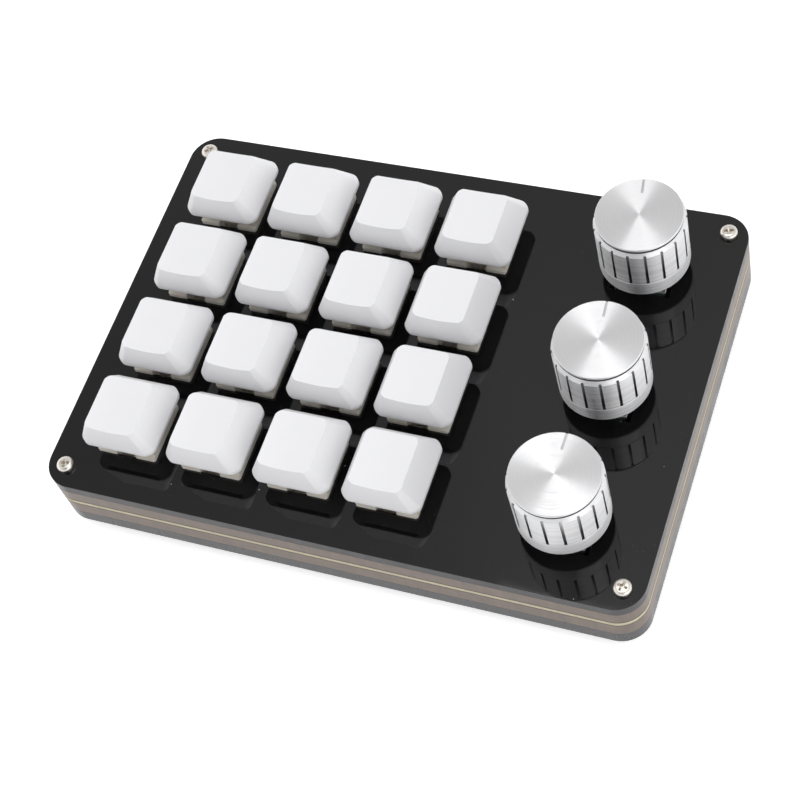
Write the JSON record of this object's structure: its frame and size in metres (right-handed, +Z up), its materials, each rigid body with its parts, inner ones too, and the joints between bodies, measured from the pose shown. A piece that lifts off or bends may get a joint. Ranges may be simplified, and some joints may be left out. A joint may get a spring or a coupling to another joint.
{
  "type": "macro keypad with knobs",
  "caption": "Desk macro keypad: a four by four block of white sprung keys and three aluminium knobs that turn and press, on stacked acrylic plates",
  "frame": {"origin": "middle of the case's outline, on the surface that it stands on", "axes": "+X to the right along the long side, with the knobs at the +X end; +Y to the back; +Z up"},
  "size_m": [0.1376, 0.099, 0.0384],
  "materials": {
    "top_acrylic": "polished black acrylic",
    "smoked_acrylic": "sawn smoke-brown acrylic, slightly clear",
    "bottom_acrylic": "polished dark grey acrylic",
    "circuit_board": "solder-masked glass fibre with pale cut edges",
    "nickel_screw": "nickel plated",
    "foot_rubber": "matt black rubber",
    "switch_base_plastic": "milky beige plastic",
    "switch_hood_plastic": "milky clear plastic",
    "spring_steel": "drawn wire",
    "contact_brass": "stamped brass",
    "keycap_white": "satin white plastic",
    "stem_plastic": "smooth moulded plastic",
    "encoder_plastic": "moulded phenolic",
    "encoder_steel": "tinned steel sheet",
    "tinned_lead": "tinned",
    "knob_aluminium": "turned and clear anodised",
    "shaft_metal": "turned",
    "rotor_plastic": "moulded",
    "socket_steel": "stamped steel",
    "chip_epoxy": "matt moulded",
    "diode_epoxy": "matt moulded"
  },
  "bodies": {
    "case": {"top_plate": "top_acrylic", "upper_spacer": "smoked_acrylic", "circuit_board": "circuit_board", "lower_spacer": "smoked_acrylic", "bottom_plate": "bottom_acrylic", "case_screws": "nickel_screw", "case_nuts": "nickel_screw", "rubber_feet": "foot_rubber", "switch_lower_housings": "switch_base_plastic", "switch_upper_housings": "switch_hood_plastic", "switch_springs": "spring_steel", "switch_contacts": "contact_brass", "encoder_bases": "encoder_plastic", "encoder_frames": "encoder_steel", "encoder_terminals": "tinned_lead", "usb_socket": "socket_steel", "controller_chip": "chip_epoxy", "board_diodes": "diode_epoxy"},
    "key_r1_c1": {"keycap_r1_c1": "keycap_white", "stem_r1_c1": "stem_plastic"},
    "key_r1_c2": {"keycap_r1_c2": "keycap_white", "stem_r1_c2": "stem_plastic"},
    "key_r1_c3": {"keycap_r1_c3": "keycap_white", "stem_r1_c3": "stem_plastic"},
    "key_r1_c4": {"keycap_r1_c4": "keycap_white", "stem_r1_c4": "stem_plastic"},
    "key_r2_c1": {"keycap_r2_c1": "keycap_white", "stem_r2_c1": "stem_plastic"},
    "key_r2_c2": {"keycap_r2_c2": "keycap_white", "stem_r2_c2": "stem_plastic"},
    "key_r2_c3": {"keycap_r2_c3": "keycap_white", "stem_r2_c3": "stem_plastic"},
    "key_r2_c4": {"keycap_r2_c4": "keycap_white", "stem_r2_c4": "stem_plastic"},
    "key_r3_c1": {"keycap_r3_c1": "keycap_white", "stem_r3_c1": "stem_plastic"},
    "key_r3_c2": {"keycap_r3_c2": "keycap_white", "stem_r3_c2": "stem_plastic"},
    "key_r3_c3": {"keycap_r3_c3": "keycap_white", "stem_r3_c3": "stem_plastic"},
    "key_r3_c4": {"keycap_r3_c4": "keycap_white", "stem_r3_c4": "stem_plastic"},
    "key_r4_c1": {"keycap_r4_c1": "keycap_white", "stem_r4_c1": "stem_plastic"},
    "key_r4_c2": {"keycap_r4_c2": "keycap_white", "stem_r4_c2": "stem_plastic"},
    "key_r4_c3": {"keycap_r4_c3": "keycap_white", "stem_r4_c3": "stem_plastic"},
    "key_r4_c4": {"keycap_r4_c4": "keycap_white", "stem_r4_c4": "stem_plastic"},
    "rotor_1": {"encoder_rotor_1": "rotor_plastic"},
    "knob_1": {"knob_1": "knob_aluminium", "encoder_shaft_1": "shaft_metal"},
    "rotor_2": {"encoder_rotor_2": "rotor_plastic"},
    "knob_2": {"knob_2": "knob_aluminium", "encoder_shaft_2": "shaft_metal"},
    "rotor_3": {"encoder_rotor_3": "rotor_plastic"},
    "knob_3": {"knob_3": "knob_aluminium", "encoder_shaft_3": "shaft_metal"}
  },
  "joints": [
    {"name": "press_r1_c1", "type": "slide", "parent": "case", "child": "key_r1_c1", "axis": [0, 0, -1], "range_m": [0, 0.004], "stiffness_N_per_m": 73.5, "springref_m": -0.004, "deforming": ["switch_springs"]},
    {"name": "press_r1_c2", "type": "slide", "parent": "case", "child": "key_r1_c2", "axis": [0, 0, -1], "range_m": [0, 0.004], "stiffness_N_per_m": 73.5, "springref_m": -0.004},
    {"name": "press_r1_c3", "type": "slide", "parent": "case", "child": "key_r1_c3", "axis": [0, 0, -1], "range_m": [0, 0.004], "stiffness_N_per_m": 73.5, "springref_m": -0.004},
    {"name": "press_r1_c4", "type": "slide", "parent": "case", "child": "key_r1_c4", "axis": [0, 0, -1], "range_m": [0, 0.004], "stiffness_N_per_m": 73.5, "springref_m": -0.004},
    {"name": "press_r2_c1", "type": "slide", "parent": "case", "child": "key_r2_c1", "axis": [0, 0, -1], "range_m": [0, 0.004], "stiffness_N_per_m": 73.5, "springref_m": -0.004},
    {"name": "press_r2_c2", "type": "slide", "parent": "case", "child": "key_r2_c2", "axis": [0, 0, -1], "range_m": [0, 0.004], "stiffness_N_per_m": 73.5, "springref_m": -0.004},
    {"name": "press_r2_c3", "type": "slide", "parent": "case", "child": "key_r2_c3", "axis": [0, 0, -1], "range_m": [0, 0.004], "stiffness_N_per_m": 73.5, "springref_m": -0.004},
    {"name": "press_r2_c4", "type": "slide", "parent": "case", "child": "key_r2_c4", "axis": [0, 0, -1], "range_m": [0, 0.004], "stiffness_N_per_m": 73.5, "springref_m": -0.004},
    {"name": "press_r3_c1", "type": "slide", "parent": "case", "child": "key_r3_c1", "axis": [0, 0, -1], "range_m": [0, 0.004], "stiffness_N_per_m": 73.5, "springref_m": -0.004},
    {"name": "press_r3_c2", "type": "slide", "parent": "case", "child": "key_r3_c2", "axis": [0, 0, -1], "range_m": [0, 0.004], "stiffness_N_per_m": 73.5, "springref_m": -0.004},
    {"name": "press_r3_c3", "type": "slide", "parent": "case", "child": "key_r3_c3", "axis": [0, 0, -1], "range_m": [0, 0.004], "stiffness_N_per_m": 73.5, "springref_m": -0.004},
    {"name": "press_r3_c4", "type": "slide", "parent": "case", "child": "key_r3_c4", "axis": [0, 0, -1], "range_m": [0, 0.004], "stiffness_N_per_m": 73.5, "springref_m": -0.004},
    {"name": "press_r4_c1", "type": "slide", "parent": "case", "child": "key_r4_c1", "axis": [0, 0, -1], "range_m": [0, 0.004], "stiffness_N_per_m": 73.5, "springref_m": -0.004},
    {"name": "press_r4_c2", "type": "slide", "parent": "case", "child": "key_r4_c2", "axis": [0, 0, -1], "range_m": [0, 0.004], "stiffness_N_per_m": 73.5, "springref_m": -0.004},
    {"name": "press_r4_c3", "type": "slide", "parent": "case", "child": "key_r4_c3", "axis": [0, 0, -1], "range_m": [0, 0.004], "stiffness_N_per_m": 73.5, "springref_m": -0.004},
    {"name": "press_r4_c4", "type": "slide", "parent": "case", "child": "key_r4_c4", "axis": [0, 0, -1], "range_m": [0, 0.004], "stiffness_N_per_m": 73.5, "springref_m": -0.004},
    {"name": "turn_1", "type": "hinge", "parent": "case", "child": "rotor_1", "pos_m": [0.04847, -0.03202, 0.0123], "axis": [0, 0, 1], "continuous": true},
    {"name": "push_1", "type": "slide", "parent": "rotor_1", "child": "knob_1", "axis": [0, 0, -1], "range_m": [0, 0.0005], "stiffness_N_per_m": 1000, "springref_m": -0.003},
    {"name": "turn_2", "type": "hinge", "parent": "case", "child": "rotor_2", "pos_m": [0.04847, 0.00018, 0.0123], "axis": [0, 0, 1], "continuous": true},
    {"name": "push_2", "type": "slide", "parent": "rotor_2", "child": "knob_2", "axis": [0, 0, -1], "range_m": [0, 0.0005], "stiffness_N_per_m": 1000, "springref_m": -0.003},
    {"name": "turn_3", "type": "hinge", "parent": "case", "child": "rotor_3", "pos_m": [0.04847, 0.03238, 0.0123], "axis": [0, 0, 1], "continuous": true},
    {"name": "push_3", "type": "slide", "parent": "rotor_3", "child": "knob_3", "axis": [0, 0, -1], "range_m": [0, 0.0005], "stiffness_N_per_m": 1000, "springref_m": -0.003}
  ]
}
